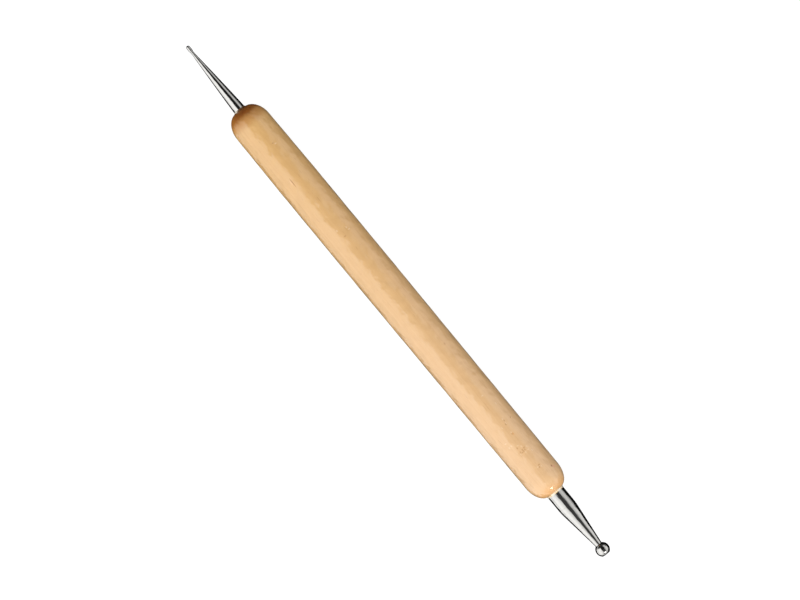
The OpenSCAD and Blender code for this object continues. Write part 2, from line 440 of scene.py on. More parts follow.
# %% [markdown]
# ## Helpers for the materials
# Materials are networks of nodes, and could be drawn by hand in the Shader Editor. A few small helpers
# keep them readable as text: they add a node and fill its inputs, do arithmetic, mix two colours, turn a
# range of values into a mask, and make noise. Colours are written as the numbers from 0 to 255 that a
# screen shows, and are converted to linear light.

# %% Node helpers
def paint(red, green, blue):
    """A colour in screen numbers from 0 to 255, as the linear colour that a shader takes."""
    screen = np.array([red, green, blue]) / 255
    linear = np.where(screen <= 0.04045, screen / 12.92, ((screen + 0.055) / 1.055) ** 2.4)
    return (*linear.tolist(), 1.0)


def add(tree, kind, inputs, **settings):
    """Adds a shader node, sets its properties, and gives each input a value or a link."""
    made = tree.nodes.new("ShaderNode" + kind)
    for name, value in settings.items():
        setattr(made, name, value)
    for name, value in inputs.items():
        if isinstance(value, bpy.types.NodeSocket):
            tree.links.new(value, made.inputs[name])
        else:
            made.inputs[name].default_value = value
    return made


def maths(tree, operation, *values):
    """One step of arithmetic on up to three values or sockets."""
    return add(tree, "Math", dict(enumerate(values)), operation=operation).outputs[0]


def mixed(tree, share, first, second):
    """The first colour where the share is 0, and the second where it is 1."""
    return add(tree, "Mix", {0: share, 6: first, 7: second}, data_type="RGBA").outputs[2]


def ramp(tree, value, start, end, low=0.0, high=1.0):
    """A soft step: low where the value is under start, and high where it is over end."""
    limits = {"Value": value, "From Min": start, "From Max": end, "To Min": low, "To Max": high}
    return add(tree, "MapRange", limits, interpolation_type="SMOOTHSTEP").outputs["Result"]


def stretched_noise(tree, coordinates, scale, detail=2.0, roughness=0.5):
    """Soft random noise from 0 to 1, with its own scale along X, Y and Z, in features a metre."""
    mapped = add(tree, "Mapping", {"Vector": coordinates, "Scale": scale}).outputs[0]
    settings = {"Vector": mapped, "Scale": 1.0, "Detail": detail, "Roughness": roughness}
    return add(tree, "TexNoise", settings).outputs[0]


def layered_noise(tree, place, scale, detail):
    """Noise from 0 to 1 along one direction only, which makes flat layers, in features a unit of place."""
    settings = {"W": place, "Scale": scale, "Detail": detail}
    return add(tree, "TexNoise", settings, noise_dimensions="1D").outputs[0]


def relief(tree, height, distance, strength=1.0, over=None):
    """The normal of a surface that rises by up to a distance, in metres, over the normal under it, if any."""
    inputs = {"Height": height, "Strength": strength, "Distance": distance}
    if over is not None:
        inputs["Normal"] = over
    return add(tree, "Bump", inputs).outputs[0]


def empty_tree(owner):
    """The node tree of a material or a world, with nothing in it."""
    owner.use_nodes = True
    owner.node_tree.nodes.clear()
    return owner.node_tree


def new_material(name):
    """A material with its tree, its Object coordinates and its Principled shader."""
    made = bpy.data.materials.new(name)
    tree = empty_tree(made)
    shader = add(tree, "BsdfPrincipled", {})
    add(tree, "OutputMaterial", {"Surface": shader.outputs[0]})
    coordinates = add(tree, "TexCoord", {}).outputs["Object"]
    return made, tree, coordinates, shader


print(f"screen grey 128 is {paint(128, 128, 128)[0]:.3f} in linear light")

# %% [markdown]
# Three effects are needed again and again, so each is a node group with named inputs and outputs:
# handling mottle, which is what fingers and a polishing cloth leave on wood, steel and glue alike, a
# band along the tool, which finds a stretch of its length with a wavy edge, and a small mark at a given
# place, for streaks and dust.

# %% Shared effects as node groups
def start_group(name, inputs, outputs):
    """A node group with float inputs (or vectors, where the default is a triple) and float outputs."""
    group = bpy.data.node_groups.new(name, "ShaderNodeTree")
    for label, default in inputs.items():
        kind = "NodeSocketVector" if isinstance(default, tuple) else "NodeSocketFloat"
        socket = group.interface.new_socket(label, in_out="INPUT", socket_type=kind)
        socket.default_value = default
    for label in outputs:
        group.interface.new_socket(label, in_out="OUTPUT", socket_type="NodeSocketFloat")
    return group, group.nodes.new("NodeGroupInput").outputs


def end_group(group, **values):
    """Joins the values to the group's outputs of the same names."""
    last = group.nodes.new("NodeGroupOutput")
    for label, value in values.items():
        group.links.new(value, last.inputs[label.replace("_", " ")])
    return group


def use_group(tree, group, inputs):
    """Places a group in a material with its own values."""
    placed = tree.nodes.new("ShaderNodeGroup")
    placed.node_tree = group
    for label, value in inputs.items():
        if isinstance(value, bpy.types.NodeSocket):
            tree.links.new(value, placed.inputs[label])
        else:
            placed.inputs[label].default_value = value
    return placed.outputs


def make_handling_mottle():
    """Cloudy patches and finer rubbing, from Low to High, for a roughness."""
    inputs = {"Vector": (0.0, 0.0, 0.0), "Low": 0.2, "High": 0.3}
    group, given = start_group("handling_mottle", inputs, ["Value"])
    clouds = stretched_noise(group, given["Vector"], (140, 260, 260), 2.0)
    rubbing = stretched_noise(group, given["Vector"], (900, 1900, 1900), 3.0, 0.6)
    both = maths(group, "MULTIPLY_ADD", rubbing, 0.4, maths(group, "MULTIPLY", clouds, 0.6))
    return end_group(group, Value=ramp(group, both, 0.36, 0.64, given["Low"], given["High"]))


def make_band_along():
    """1 from Start to End along X, and 0 elsewhere. Its edges are Soft wide, and wander by Wave."""
    inputs = {"Vector": (0.0, 0.0, 0.0), "Start": 0.0, "End": 0.0, "Soft": 0.001, "Wave": 0.0}
    group, given = start_group("band_along", inputs, ["Mask"])
    x = add(group, "SeparateXYZ", {0: given["Vector"]}).outputs[0]
    wander = maths(group, "SUBTRACT", stretched_noise(group, given["Vector"], (260, 420, 420), 3.0, 0.6), 0.5)
    place = maths(group, "MULTIPLY_ADD", wander, given["Wave"], x)
    rise = ramp(group, maths(group, "SUBTRACT", place, given["Start"]), 0.0, given["Soft"])
    fall = ramp(group, maths(group, "SUBTRACT", given["End"], place), 0.0, given["Soft"])
    return end_group(group, Mask=maths(group, "MULTIPLY", rise, fall))


def make_small_mark():
    """1 at Centre, and 0 past its Length along X and its Width across. Ragged is noise for its outline."""
    reach = {"Length": 0.001, "Width": 0.001}
    inputs = {"Vector": (0.0, 0.0, 0.0), "Centre": (0.0, 0.0, 0.0), **reach, "Ragged": 0.5}
    group, given = start_group("small_mark", inputs, ["Mask"])
    both = {0: given["Vector"], 1: given["Centre"]}
    apart = add(group, "VectorMath", both, operation="SUBTRACT").outputs[0]
    size = add(group, "CombineXYZ", {0: given["Length"], 1: given["Width"], 2: given["Width"]}).outputs[0]
    share = add(group, "VectorMath", {0: apart, 1: size}, operation="DIVIDE").outputs[0]
    squares = add(group, "VectorMath", {0: share, 1: share}, operation="DOT_PRODUCT").outputs["Value"]
    outline = maths(group, "MULTIPLY_ADD", given["Ragged"], 0.5, squares)
    return end_group(group, Mask=ramp(group, outline, 1.3, 0.5))


handling_mottle = make_handling_mottle()
band_along = make_band_along()
small_mark = make_small_mark()
print("groups:", ", ".join(group.name for group in bpy.data.node_groups))

# %% [markdown]
# ## Lacquered wood
# The stick was sawn along the grain, so its growth rings are nearly flat layers that run along the
# handle. They come out as long faint streaks, and as slow curves where the tapers cut through them. Fibres
# are much finer streaks, and flecks are the short brown dashes of the rays. All three read the place in
# space, so the figure runs through the wood as it does in a real stick, end grain included. A picture
# of wood wrapped round the handle would have a seam, and stretch at the shoulders. The wood is yellower
# at the fine end and paler at the ball end.

# %% The wood's figure
HONEY = paint(237, 189, 122)
CREAM = paint(247, 203, 152)
LATE_WOOD = paint(226, 168, 102)
FIBRE = paint(216, 158, 96)
FLECK = paint(176, 114, 62)
LATE_WOOD_SHARE, FIBRE_SHARE, FLECK_SHARE = 0.22, 0.16, 0.3
RING_SPACING, RING_WARP, RING_TURN = 0.0013, 0.0016, math.radians(35)
# Between these places along the tool, in metres, honey turns to cream, with patches that far ahead or behind
ALL_HONEY, ALL_CREAM, PATCH_REACH = -0.052, 0.062, 0.03


def wood_figure(tree, coordinates):
    """The colour of the bare wood, and the height of its fibres. Rings are layers at a slant."""
    x, y, z = add(tree, "SeparateXYZ", {0: coordinates}).outputs[:3]
    warp = maths(tree, "MULTIPLY", stretched_noise(tree, coordinates, (18, 90, 90), 2.0), RING_WARP)
    upwards = maths(tree, "MULTIPLY_ADD", z, math.cos(RING_TURN), warp)
    slanted = maths(tree, "MULTIPLY_ADD", y, math.sin(RING_TURN), upwards)
    rings = layered_noise(tree, maths(tree, "DIVIDE", slanted, RING_SPACING), 1.0, 2.0)
    fibres = stretched_noise(tree, coordinates, (30, 2600, 2600), 4.0, 0.65)
    rays = stretched_noise(tree, coordinates, (420, 6200, 6200), 1.0)
    patches = stretched_noise(tree, coordinates, (55, 150, 150), 2.0)
    creaminess = ramp(tree, maths(tree, "MULTIPLY_ADD", patches, PATCH_REACH, x), ALL_HONEY, ALL_CREAM)
    colour = mixed(tree, creaminess, HONEY, CREAM)
    colour = mixed(tree, ramp(tree, rings, 0.45, 0.68, 0.0, LATE_WOOD_SHARE), colour, LATE_WOOD)
    colour = mixed(tree, ramp(tree, fibres, 0.46, 0.72, 0.0, FIBRE_SHARE), colour, FIBRE)
    colour = mixed(tree, ramp(tree, rays, 0.68, 0.8, 0.0, FLECK_SHARE), colour, FLECK)
    return colour, fibres


print(f"wood: a ring every {METRE * RING_SPACING:.1f} mm, {math.degrees(RING_TURN):.0f} degrees from level")

# %% [markdown]
# This handle has marks of its own: a brown cap where the fine end was burnished, with painted shade
# darkening its back, and a halo round it, an orange tint round the other mouth, streaks along the grain, one
# with a painted highlight beside it, and grains of dust that dried into the lacquer, painted as pale
# highlights on the grains and brown shadows beside them. A grain is a third to half a millimetre across.
# Random specks would do for a stick of wood in general, but these lie where the photograph shows them,
# by measurement.

# %% Where the streaks and the dust are
# The pale streak colour is a painted highlight, a glint beside the brown streak
STREAK_BROWN, STREAK_HIGHLIGHT = paint(186, 126, 74), paint(255, 208, 156)
RED_SPOT, PINK, MOUTH_ORANGE = paint(166, 84, 56), paint(246, 178, 150), paint(243, 180, 112)
# Both dust colours are painted light: a pale highlight on raised grains, and a brown shadow beside them
NIB_HIGHLIGHT, NIB_SHADOW = paint(255, 217, 172), paint(212, 160, 108)
# Each streak or spot: its place along and across the tool, half its length and half its width, in millimetres
STREAKS = [
    ((-31.1, -1.08), 1.30, 0.12, STREAK_BROWN),
    ((-31.3, -1.36), 0.80, 0.16, STREAK_HIGHLIGHT),
    ((-44.7, -3.40), 0.22, 0.20, PINK),
    ((44.3, 2.74), 0.30, 0.18, RED_SPOT),
    ((44.7, 3.05), 0.40, 0.26, PINK),
    ((34.5, 0.95), 0.40, 0.16, MOUTH_ORANGE),
    ((27.8, 2.10), 0.34, 0.12, NIB_HIGHLIGHT),
]
# The places of the painted highlights on grains of dust, then of the painted shadows beside grains, each
# along and across the tool, in millimetres
NIB_HIGHLIGHTS = [
    (-39.2, 1.26), (31.0, 1.12), (32.0, 1.17), (31.9, 2.79), (32.3, -0.06), (34.1, 0.80), (35.2, -1.54),
    (36.3, -1.46), (36.2, -0.91), (36.9, 0.13), (37.5, 0.59), (38.1, 1.38), (38.8, 1.24), (39.4, 1.78),
    (43.0, 1.20), (24.9, 0.99), (-18.3, -0.40), (-17.7, 1.50), (-17.1, 1.68), (38.9, 0.55), (38.7, -0.52),
    (42.7, 0.50),
]
NIB_SHADOWS = [
    (-39.6, 0.84), (32.2, 0.95), (31.4, 1.22), (31.8, 2.56), (34.4, 0.73), (37.3, -0.30), (38.0, 0.84),
    (38.4, 0.72), (38.3, -0.30), (38.6, -0.03), (42.9, 0.73), (12.3, 1.81), (-16.5, 0.15), (38.5, 0.35),
    (38.2, 0.30), (42.5, 0.95),
]
# Half the length and half the width of a grain, in metres
DUST_LONG, DUST_SHORT = 0.00028, 0.00016
print(f"marks: {len(STREAKS)} streaks, {len(NIB_HIGHLIGHTS) + len(NIB_SHADOWS)} grains of dust")

# %% [markdown]
# The marks are laid over the wood one after the other, each as a tint inside a mask. A mask could also be
# painted by hand on the mesh, but a place and a size are easier to change. The cap's end grain soaks up
# its lacquer, so where it is brown the coat over it is thin.

# %% The marks of this handle
CAP_BROWN, CAP_DARK, CAP_HALO = paint(198, 126, 54), paint(154, 82, 27), paint(218, 153, 84)
# For each band: its reach in from the end face, its edge's softness and wander, in metres, and its share
CAP_LENGTH, CAP_SOFT, CAP_WAVE, CAP_SHARE = 0.0022, 0.0012, 0.0018, 0.95
HALO_LENGTH, HALO_SOFT, HALO_WAVE, HALO_SHARE = 0.0042, 0.0022, 0.0010, 0.8
MOUTH_LENGTH, MOUTH_SOFT, MOUTH_WAVE, MOUTH_SHARE = 0.0026, 0.0020, 0.0008, 0.6
STREAK_SHARE, NIB_SHADOW_SHARE, NIB_HIGHLIGHT_SHARE = 0.75, 0.7, 0.8
# How far a band at an end goes on past the end face, so that it has no edge there
PAST_FACE = 0.01


def on_top(x, y):
    """A place on the upper side of the handle, in metres, from millimetres along the tool and across it."""
    radius = float(handle_radius(x - FINE_FACE))
    return (x / METRE, y / METRE, (AXIS_HEIGHT + math.sqrt(radius ** 2 - y ** 2)) / METRE)


def band(tree, coordinates, start, end, soft, wave):
    """The mask of a band along the tool."""
    edges = {"Start": start, "End": end, "Soft": soft, "Wave": wave}
    return use_group(tree, band_along, {"Vector": coordinates, **edges})[0]


def mark(tree, coordinates, centre, length, width, ragged):
    """The mask of a streak or a grain."""
    size = {"Length": length, "Width": width, "Ragged": ragged}
    return use_group(tree, small_mark, {"Vector": coordinates, "Centre": centre, **size})[0]


def dust_light_and_shade_mask(tree, coordinates, ragged, places):
    """1 on every spot in a list of places, and 0 between them; the spots take the painted highlights and
    shadows of grains of dust. Every third spot lies across.
    """
    mask = 0.0
    for number, place in enumerate(places):
        length, width = (DUST_LONG, DUST_SHORT) if number % 3 else (DUST_SHORT, DUST_LONG)
        grain = mark(tree, coordinates, on_top(*place), length, width, ragged)
        mask = maths(tree, "MAXIMUM", grain, mask)
    return mask


def tinted(tree, mask, share, colour, tint):
    """The colour with a share of a tint over it inside a mask."""
    return mixed(tree, maths(tree, "MULTIPLY", mask, share), colour, tint)


def burnished_brown_and_shade(tree, coordinates):
    """The cap's brown, which is darker in streaks, and darker towards the back as painted shade."""
    streaks = stretched_noise(tree, coordinates, (200, 900, 900), 3.0, 0.6)
    y = add(tree, "SeparateXYZ", {0: coordinates}).outputs[1]
    # Painted shade: the back of the cap, away from the big softbox in front, is darker
    painted_shade_at_back = ramp(tree, y, -0.003, 0.001, 0.0, 0.5)
    darker = maths(tree, "MULTIPLY_ADD", ramp(tree, streaks, 0.35, 0.7), 0.5, painted_shade_at_back)
    return mixed(tree, darker, CAP_BROWN, CAP_DARK)


def wood_marks(tree, coordinates, colour):
    """Halo and cap at the fine end, with painted shade on the cap's back, a tint at the other mouth, streaks
    with one painted highlight, and dust painted as highlights and shadows.

    Returns the colour, where the lacquer is thin, and the mask of the pale grains with their painted
    highlights.
    """
    fine, ball = FINE_FACE / METRE, BALL_FACE / METRE
    halo = band(tree, coordinates, fine - PAST_FACE, fine + HALO_LENGTH, HALO_SOFT, HALO_WAVE)
    cap = band(tree, coordinates, fine - PAST_FACE, fine + CAP_LENGTH, CAP_SOFT, CAP_WAVE)
    mouth = band(tree, coordinates, ball - MOUTH_LENGTH, ball + PAST_FACE, MOUTH_SOFT, MOUTH_WAVE)
    colour = tinted(tree, halo, HALO_SHARE, colour, CAP_HALO)
    colour = tinted(tree, cap, CAP_SHARE, colour, burnished_brown_and_shade(tree, coordinates))
    colour = tinted(tree, mouth, MOUTH_SHARE, colour, MOUTH_ORANGE)
    ragged = stretched_noise(tree, coordinates, (2200, 5200, 5200), 2.0)
    for place, length, width, tint in STREAKS:
        streak = mark(tree, coordinates, on_top(*place), length / METRE, width / METRE, ragged)
        colour = tinted(tree, streak, STREAK_SHARE, colour, tint)
    # Painted shadows beside the grains of dust, then painted highlights on the grains
    brown = dust_light_and_shade_mask(tree, coordinates, ragged, NIB_SHADOWS)
    colour = tinted(tree, brown, NIB_SHADOW_SHARE, colour, NIB_SHADOW)
    pale = dust_light_and_shade_mask(tree, coordinates, ragged, NIB_HIGHLIGHTS)
    colour = tinted(tree, pale, NIB_HIGHLIGHT_SHARE, colour, NIB_HIGHLIGHT)
    thin = maths(tree, "MAXIMUM", cap, maths(tree, "MULTIPLY", halo, 0.5))
    return colour, thin, pale


print(f"cap: {METRE * CAP_LENGTH:.1f} mm long, in a halo of {METRE * HALO_LENGTH:.1f} mm")

# %% [markdown]
# The clear lacquer is the coat of the same shader. A second shell of glass over the wood would be nearer
# to the truth, but slow and easily dark at the rim. The lacquer was brushed or dipped on, and its skin
# isn't flat: it lies in shallow waves a few millimetres long, which move the edges of what it reflects.
# The wood under it follows them more weakly, and so do the grains of dust and the fibres.

# %% Lacquered wood
# The greatest height of each relief, in metres
COAT_WAVES, WOOD_WAVES = 0.00040, 0.00022
DUST_HEIGHT, FIBRE_HEIGHT = 0.00002, 0.00001
THIN_COAT = 0.15


def make_lacquered_wood():
    """Wood with its marks, painted shade and highlights among them, under a gloss coat in shallow waves. Dust
    and fibres are a very small bump.
    """
    made, tree, coordinates, shader = new_material("lacquered_wood")
    colour, fibres = wood_figure(tree, coordinates)
    colour, thin, dust = wood_marks(tree, coordinates, colour)
    tree.links.new(colour, shader.inputs["Base Color"])
    tree.links.new(ramp(tree, thin, 0.0, 1.0, 1.0, THIN_COAT), shader.inputs["Coat Weight"])
    rubbed = use_group(tree, handling_mottle, {"Vector": coordinates, "Low": 0.42, "High": 0.56})
    tree.links.new(rubbed[0], shader.inputs["Roughness"])
    waves = stretched_noise(tree, coordinates, (400, 520, 520), 2.0)
    tree.links.new(relief(tree, waves, COAT_WAVES), shader.inputs["Coat Normal"])
    wavy = relief(tree, waves, WOOD_WAVES)
    dusty = relief(tree, dust, DUST_HEIGHT, over=wavy)
    tree.links.new(relief(tree, fibres, FIBRE_HEIGHT, over=dusty), shader.inputs["Normal"])
    shader.inputs["Specular IOR Level"].default_value = 0.15
    shader.inputs["Coat IOR"].default_value = 1.58
    shader.inputs["Coat Roughness"].default_value = 0.08
    print(f"lacquer: waves {METRE * COAT_WAVES:.2f} mm high at most, {METRE * WOOD_WAVES:.2f} mm in the wood")
    return made


lacquered_wood = make_lacquered_wood()

# %% [markdown]
# ## Turned steel
# A turning tool leaves a very fine thread on steel, and polishing takes off most of it. What is left
# are rings round the axis, some a little deeper than others, so the pattern is noise in one dimension,
# along X. Anisotropy is the usual way to shade turned metal, but it makes no single ring. The rings go
# into the bump and the roughness, and so do the long rubs of the polishing cloth. The colour of a metal
# is the colour of its reflection, so most of what shows is the studio round it.

# %% Turned and polished steel
STEEL, STEEL_IN_GROOVES, GROOVE_SHARE = paint(190, 189, 186), paint(160, 156, 150), 0.3
# Rings a metre, how far they wander, and the depths of ring and rub, all in metres
FINE_RINGS, COARSE_RINGS, RING_WANDER = 9000.0, 1700.0, 0.00025
RING_DEPTH, RUB_DEPTH = 0.00001, 0.000026


def make_polished_steel():
    """Metal with rings of two widths round X, rubs along them, and mottled roughness."""
    made, tree, coordinates, shader = new_material("polished_steel")
    x = add(tree, "SeparateXYZ", {0: coordinates}).outputs[0]
    uneven = stretched_noise(tree, coordinates, (90, 300, 300), 1.0)
    wander = maths(tree, "MULTIPLY_ADD", uneven, RING_WANDER, x)
    fine = layered_noise(tree, wander, FINE_RINGS, 2.0)
    grooves = ramp(tree, layered_noise(tree, wander, COARSE_RINGS, 3.0), 0.58, 0.78)
    worn = maths(tree, "MULTIPLY", grooves, GROOVE_SHARE)
    tree.links.new(mixed(tree, worn, STEEL, STEEL_IN_GROOVES), shader.inputs["Base Color"])
    mottle = use_group(tree, handling_mottle, {"Vector": coordinates, "Low": 0.045, "High": 0.085})[0]
    tree.links.new(maths(tree, "MULTIPLY_ADD", grooves, 0.03, mottle), shader.inputs["Roughness"])
    rubs = relief(tree, stretched_noise(tree, coordinates, (500, 2600, 2600), 2.0), RUB_DEPTH)
    rings = maths(tree, "MULTIPLY_ADD", grooves, -0.3, maths(tree, "MULTIPLY", fine, 0.4))
    tree.links.new(relief(tree, rings, RING_DEPTH, 0.2, rubs), shader.inputs["Normal"])
    shader.inputs["Metallic"].default_value = 1.0
    print(f"steel: {FINE_RINGS / METRE:.0f} fine and {COARSE_RINGS / METRE:.1f} coarse rings a millimetre")
    return made


polished_steel = make_polished_steel()

# %% [markdown]
# ## Cured glue
# The bead is clear glue over pale wood and bright steel, so it looks like glossy cream with a little
# amber where it is thick. At the fine end it is brown over all but its front side: the burnished cap shows
# through it, and keeping that brown to the back is painted shade. It is only a third of a millimetre
# wide, and a coat over a slightly cloudy colour shows that as well as real glass would, with no risk of a
# dark rim.

# %% Cured glue
GLUE_CREAM, GLUE_AMBER, GLUE_BROWN = paint(255, 246, 224), paint(246, 214, 164), paint(120, 84, 50)
BUBBLE_HEIGHT = 0.00003


def make_cured_glue():
    """Cloudy cream and amber under a gloss coat, brown at the cap with painted shade on its back, with
    trapped bubbles as a bump.
    """
    made, tree, coordinates, shader = new_material("cured_glue")
    clouds = stretched_noise(tree, coordinates, (1500, 1500, 1500), 2.0)
    bubbles = stretched_noise(tree, coordinates, (5200, 5200, 5200), 1.0)
    colour = mixed(tree, ramp(tree, clouds, 0.4, 0.65), GLUE_CREAM, GLUE_AMBER)
    x, y = add(tree, "SeparateXYZ", {0: coordinates}).outputs[:2]
    # Brown at the fine end over all but the front side: the cap showing through, kept to the back as painted
    # shade
    cap_and_painted_shade = maths(tree, "MULTIPLY", ramp(tree, x, 0.0, -0.01), ramp(tree, y, -0.0009, -0.0003))
    colour = mixed(tree, cap_and_painted_shade, colour, GLUE_BROWN)
    tree.links.new(colour, shader.inputs["Base Color"])
    mottle = use_group(tree, handling_mottle, {"Vector": coordinates, "Low": 0.1, "High": 0.2})[0]
    tree.links.new(mottle, shader.inputs["Roughness"])
    raised = relief(tree, ramp(tree, bubbles, 0.6, 0.75), BUBBLE_HEIGHT, 0.3)
    tree.links.new(raised, shader.inputs["Normal"])
    shader.inputs["Coat Weight"].default_value = 1.0
    shader.inputs["Coat Roughness"].default_value = 0.06
    print(f"glue: bubbles stand up {METRE * BUBBLE_HEIGHT:.2f} mm at most")
    return made


cured_glue = make_cured_glue()

# %% [markdown]
# ## Join the looks to the frame
# Each new surface rides on the one body of the model and takes its material, and the plain solid that
# it replaces is hidden. Dressing the plain solids themselves would be less work, but their corners are
# sharp and their sides are flat.

# %% Ride, replace and dress
DRESSED = [
    (handle, "handle", "lacquered_wood", lacquered_wood),
    (ball_stylus, "ball_stylus", "polished_steel", polished_steel),
    (fine_stylus, "fine_stylus", "polished_steel", polished_steel),
    (ball_glue, "ball_socket_glue", "cured_glue", cured_glue),
    (fine_glue, "fine_socket_glue", "cured_glue", cured_glue),
]
for piece, node_name, slot_name, material in DRESSED:
    piece.data.materials.append(material)
    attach(piece, "root")
    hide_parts(node_name)
    print(f"{piece.name} stands for {node_name} in {slot_name}")

# %% [markdown]
# ## The table
# The photograph has a pure white ground. A floor that is bright enough to clip would also light the
# tool from below, so the floor is a plain grey for soft light, and glows nearly white only where the
# camera, a reflection or a clear material looks at it. A share of its real shading stays in, so that it
# keeps the tool's soft shadow.

# %% The white floor
FLOOR_SIZE = 6.0
FLOOR_GREY, GLOW, SHADING_SHARE = 0.15, 0.93, 0.2


def looked_at(tree):
    """1 for a ray that comes from the camera or from a glossy or clear surface, and 0 for soft light."""
    ray = add(tree, "LightPath", {}).outputs
    glossy_or_clear = maths(tree, "MAXIMUM", ray["Is Glossy Ray"], ray["Is Transmission Ray"])
    return maths(tree, "MAXIMUM", ray["Is Camera Ray"], glossy_or_clear)


def neutral(brightness):
    """A grey as a linear colour."""
    return (brightness, brightness, brightness, 1)


def flat_sheet(name, corners):
    """A sheet with the given corners, in metres, marked as backdrop so that it is left out of the object's
    box.
    """
    mesh = bpy.data.meshes.new(name)
    mesh.from_pydata(corners, [], [tuple(range(len(corners)))])
    sheet = bpy.data.objects.new(name, mesh)
    bpy.context.scene.collection.objects.link(sheet)
    sheet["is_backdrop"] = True
    return sheet


def make_floor():
    """Grey for soft light, and glow plus a share of the shading where it is looked at."""
    half = FLOOR_SIZE / 2
    floor = flat_sheet("floor", [(-half, -half, 0), (half, -half, 0), (half, half, 0), (-half, half, 0)])
    made = bpy.data.materials.new("white_ground")
    tree = empty_tree(made)
    grey = add(tree, "BsdfDiffuse", {"Color": neutral(FLOOR_GREY)}).outputs[0]
    shading = add(tree, "BsdfDiffuse", {"Color": neutral(SHADING_SHARE)}).outputs[0]
    glow = add(tree, "Emission", {"Color": neutral(1), "Strength": GLOW}).outputs[0]
    bright = add(tree, "AddShader", {0: shading, 1: glow}).outputs[0]
    either = add(tree, "MixShader", {0: looked_at(tree), 1: grey, 2: bright}).outputs[0]
    add(tree, "OutputMaterial", {"Surface": either})
    made.cycles.emission_sampling = "NONE"
    floor.data.materials.append(made)
    print(f"floor: {FLOOR_SIZE:.0f} m wide, glowing at {GLOW}")


make_floor()

# %% [markdown]
# Polished steel on a white table would lose its edges, because they reflect the table. A photographer
# lays black card beside the work, so that the edges are drawn in dark lines, and a white card in front of
# the black one, so that the steel is bright again right beside the line. A third white card stands on
# edge behind the ball, and gives the ball a bright patch on that side. These cards do the same. Only
# reflections see them: neither the camera nor the soft light does.

# %% Cards for the edges of the steel
# All in metres, and the lying cards are just above the table. Front is towards -Y.
CARD_HEIGHT, CARD_REACH = 0.0001, 0.30
FRONT_AT_FINE, FRONT_AT_HANDLE, FRONT_AT_BALL = -0.021, -0.012, -0.0135
WHITE_FRONT, WHITE_START, WHITE_END = -0.060, 0.048, 0.095
STANDING_START, STANDING_END, STANDING_Y = 0.0605, 0.090, 0.025
STANDING_LOW, STANDING_HIGH = 0.0055, 0.024
BLACK_CARD, WHITE_CARD, STANDING_CARD = 0.01, 1.6, 1.2


def make_card(name, corners, brightness):
    """A card that only glossy rays see, with a brightness of its own."""
    card = flat_sheet(name, corners)
    for kind_of_ray in ("camera", "diffuse", "transmission", "volume_scatter", "shadow"):
        setattr(card, "visible_" + kind_of_ray, False)
    made = bpy.data.materials.new(name)
    tree = empty_tree(made)
    light = add(tree, "Emission", {"Color": neutral(1), "Strength": brightness}).outputs[0]
    add(tree, "OutputMaterial", {"Surface": light})
    made.cycles.emission_sampling = "NONE"
    card.data.materials.append(made)
    print(f"{name}: brightness {brightness}")


def lying_card(name, corners, brightness):
    """A card that lies on the table, from corners along and across the tool."""
    make_card(name, [(x, y, CARD_HEIGHT) for x, y in corners], brightness)


def rectangle(start, end, low, high):
    """The corners of a rectangle."""
    return [(start, low), (end, low), (end, high), (start, high)]


lying_card("black_card", [
    (-CARD_REACH, FRONT_AT_FINE), (-WHITE_START, FRONT_AT_FINE), (-WHITE_START, FRONT_AT_HANDLE),
    (WHITE_START, FRONT_AT_HANDLE), (WHITE_START, FRONT_AT_BALL), (CARD_REACH, FRONT_AT_BALL),
    (CARD_REACH, CARD_REACH), (-CARD_REACH, CARD_REACH),
], BLACK_CARD)
at_fine = rectangle(-WHITE_END, -WHITE_START, WHITE_FRONT, FRONT_AT_FINE)
lying_card("white_card_at_fine", at_fine, WHITE_CARD)
at_ball = rectangle(WHITE_START, WHITE_END, WHITE_FRONT, FRONT_AT_BALL)
lying_card("white_card_at_ball", at_ball, WHITE_CARD)
upright = rectangle(STANDING_START, STANDING_END, STANDING_LOW, STANDING_HIGH)
make_card("standing_card", [(x, STANDING_Y, z) for x, z in upright], STANDING_CARD)

# %% [markdown]
# ## The light
# The photograph's steel shows the studio like a mirror: a large bright softbox in front, on the lower
# left of the picture, a dark gap overhead where the camera is, a second, weaker softbox behind, and
# darkness at the fine end. Those are angles round the tool's axis, so the world is painted as a function
# of that angle, where lamps and screens would each take many tries. The camera itself sees plain white.

# %% A studio painted into the world
WORLD_STRENGTH = 1.8
# Angle from straight up, negative towards the front (-Y), and the brightness there as a share of the strength
STUDIO = [
    (-180, 0.05), (-96, 0.40), (-88, 0.92), (-62, 1.00), (-36, 0.84), (-20, 0.70), (-9, 0.04),
    (29, 0.04), (39, 0.46), (66, 0.62), (80, 0.45), (90, 0.25), (180, 0.03),
]
STUDIO_AT_FINE = [
    (-180, 0.05), (-96, 0.40), (-88, 0.85), (-62, 0.95), (-36, 1.00), (-22, 0.86), (-14, 0.01),
    (34, 0.01), (44, 0.40), (60, 0.56), (72, 0.42), (82, 0.03), (180, 0.03),
]
# How much of a direction is along X, from -1 to 1: where one studio turns into the other, and then, for
# the light at each end, where it starts, where it is complete, and its brightness
TURNS_TO_FINE = (0.03, -0.02)
END_LIGHTS = [(0.60, 0.85, 0.50), (0.86, 0.97, 0.12), (-0.50, -0.80, 0.02)]


def angle_bands(tree, turn, studio):
    """The brightness at an angle, as a colour ramp over the whole turn."""
    bands = add(tree, "ValToRGB", {"Fac": turn})
    stops = bands.color_ramp.elements
    for place, (degrees, brightness) in enumerate(studio):
        position = degrees / 360 + 0.5
        stop = stops[place] if place < 2 else stops.new(position)
        stop.position = position
        stop.color = neutral(brightness)
    return bands.outputs[0]


